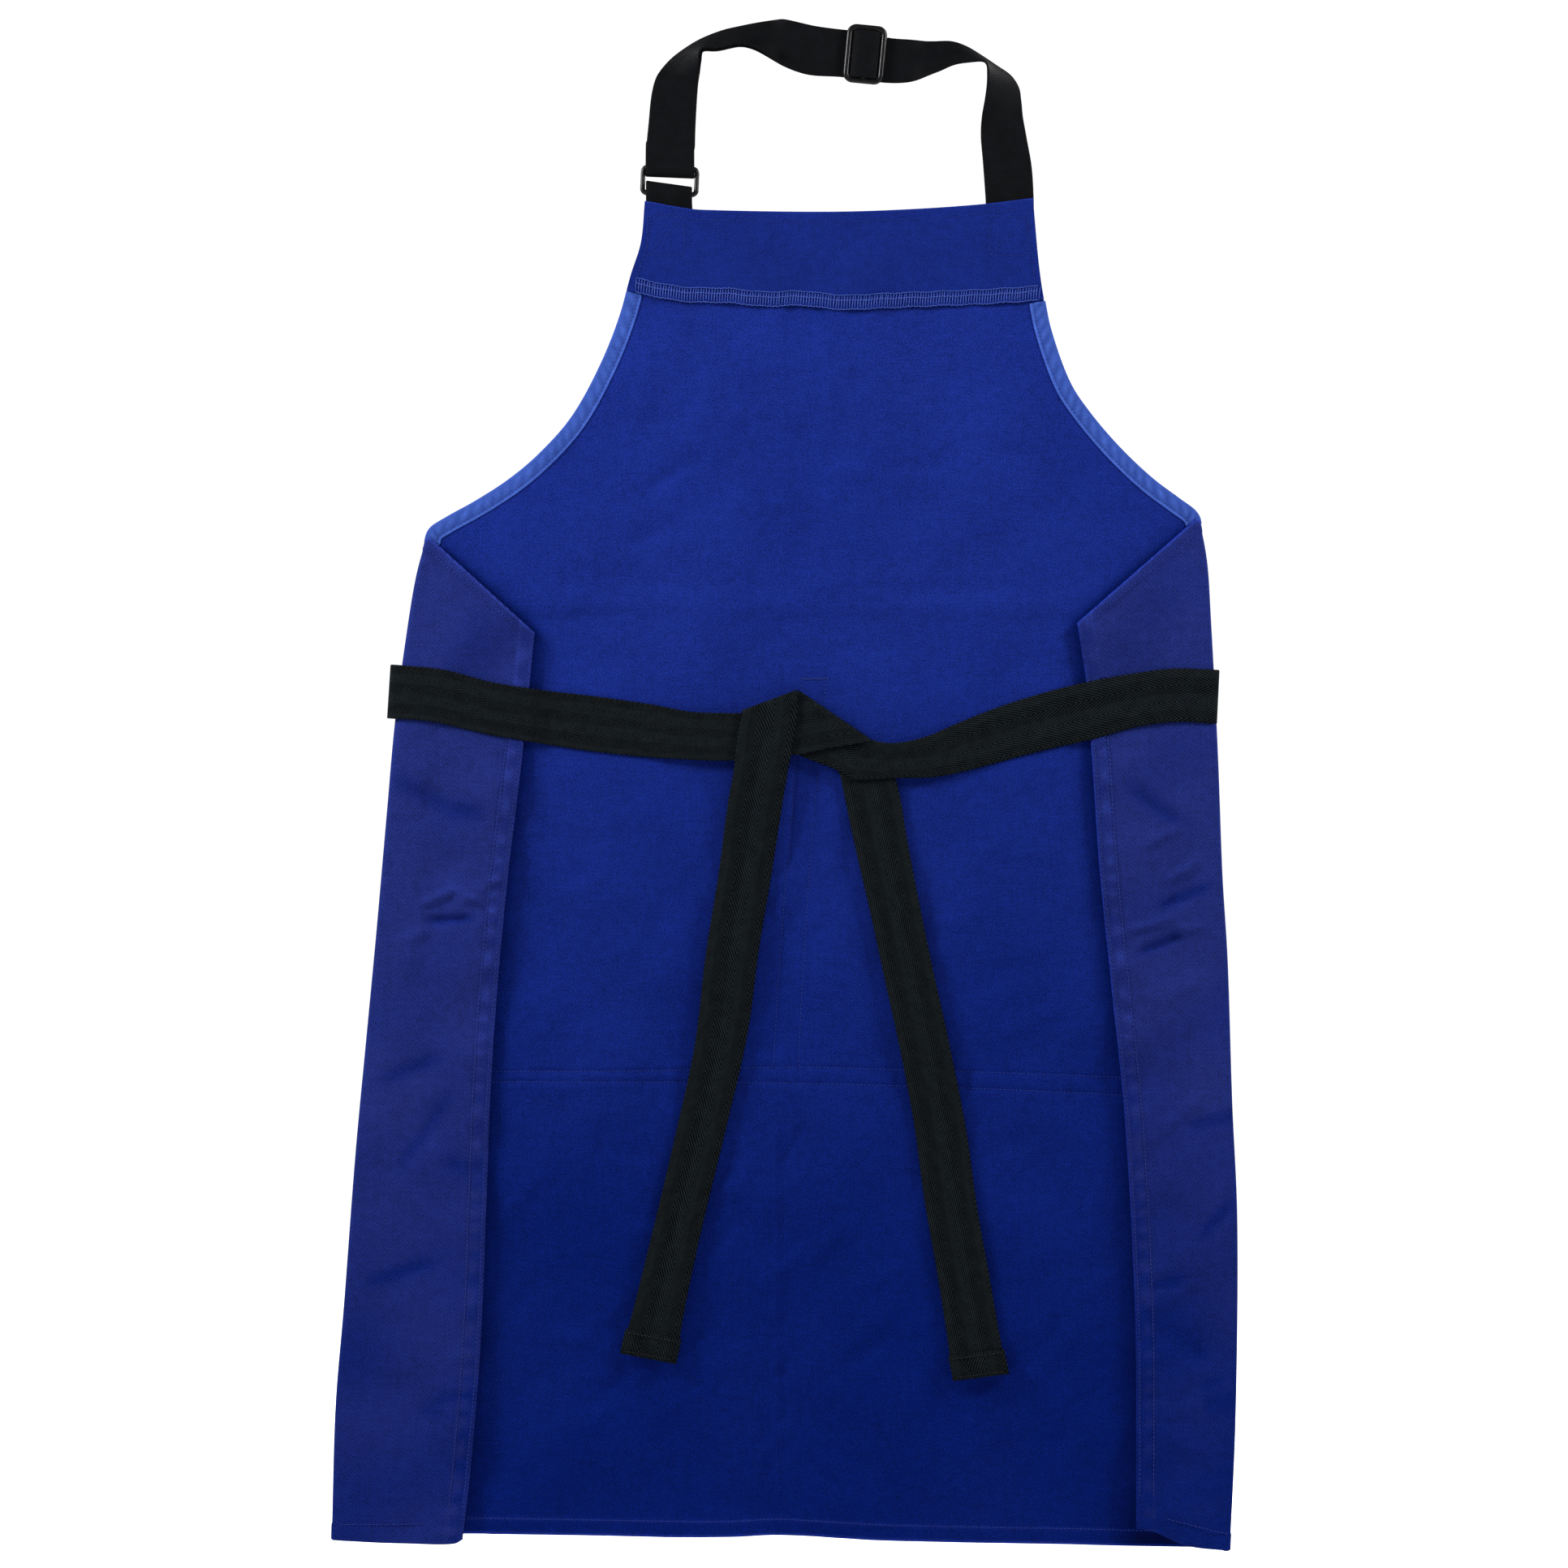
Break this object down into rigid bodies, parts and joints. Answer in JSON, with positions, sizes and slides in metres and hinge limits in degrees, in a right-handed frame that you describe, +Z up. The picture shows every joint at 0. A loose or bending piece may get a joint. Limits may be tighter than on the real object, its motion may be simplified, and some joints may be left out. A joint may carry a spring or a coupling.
{
  "type": "welding apron",
  "caption": "Blue cotton bib apron, wings folded in, with front pockets, knotted black waist ties and an adjustable webbing neck loop.",
  "frame": {"origin": "on the hem line, under the middle of the folded apron, in the plane of the body cloth", "axes": "+Z up the apron from its hem to the neck loop, +X across it, +Y out of its outer side, so the worn side faces -Y"},
  "size_m": [0.5832, 0.0213, 0.9874],
  "materials": {
    "blue_twill": "woven matt",
    "blue_lining": "woven matt",
    "light_blue_binding": "woven matt",
    "light_blue_thread": "matt",
    "blue_thread": "matt",
    "black_tape": "herringbone, matt",
    "black_webbing": "woven, slight sheen",
    "black_thread": "matt",
    "black_metal": "satin",
    "black_plastic": "satin"
  },
  "bodies": {
    "apron": {"body_cloth": "blue_twill", "bib_facing": "blue_lining", "facing_overlock": "light_blue_thread", "bib_top_stitching": "blue_thread", "bottom_hem_stitching": "blue_thread", "left_binding": "light_blue_binding", "right_binding": "light_blue_binding", "pocket_panel": "blue_twill", "pocket_stitching": "blue_thread", "bar_tacks": "blue_thread", "left_tie": "black_tape", "right_tie": "black_tape", "tie_anchor_stitching": "black_thread", "waist_knot": "black_tape", "ring_tab": "black_webbing", "strap_end": "black_webbing", "strap_stitching": "black_thread"},
    "neck_loop": {"neck_strap": "black_webbing", "strap_return": "black_webbing", "ring": "black_metal"},
    "slider": {"slider_frame": "black_plastic", "slider_webbing": "black_webbing"},
    "left_wing_flap": {"left_wing": "blue_twill", "left_wing_stitching": "blue_thread"},
    "right_wing_flap": {"right_wing": "blue_twill", "right_wing_stitching": "blue_thread"},
    "left_tie_tail": {"left_tail": "black_tape"},
    "right_tie_tail": {"right_tail": "black_tape"}
  },
  "joints": [
    {"name": "neck_loop_tilt", "type": "hinge", "parent": "apron", "child": "neck_loop", "pos_m": [0, 0.0017, 0.877], "axis": [1, 0, 0], "range_deg": [-110, 110]},
    {"name": "slider_slide", "type": "slide", "parent": "neck_loop", "child": "slider", "axis": [0.9954, 0, -0.0958], "range_m": [-0.022, 0.012]},
    {"name": "left_wing_lift", "type": "hinge", "parent": "apron", "child": "left_wing_flap", "pos_m": [-0.2845, -0.006, 0.009], "axis": [-0.079, 0, -0.9969], "range_deg": [0, 95]},
    {"name": "right_wing_lift", "type": "hinge", "parent": "apron", "child": "right_wing_flap", "pos_m": [0.28, -0.006, 0.003], "axis": [-0.0095, 0, 1], "range_deg": [0, 95]},
    {"name": "left_tail_swing", "type": "hinge", "parent": "apron", "child": "left_tie_tail", "pos_m": [-0.0165, -0.005, 0.496], "axis": [-1, 0, 0], "range_deg": [0, 90]},
    {"name": "right_tail_swing", "type": "hinge", "parent": "apron", "child": "right_tie_tail", "pos_m": [0.0555, -0.005, 0.496], "axis": [-1, 0, 0], "range_deg": [0, 90]}
  ]
}
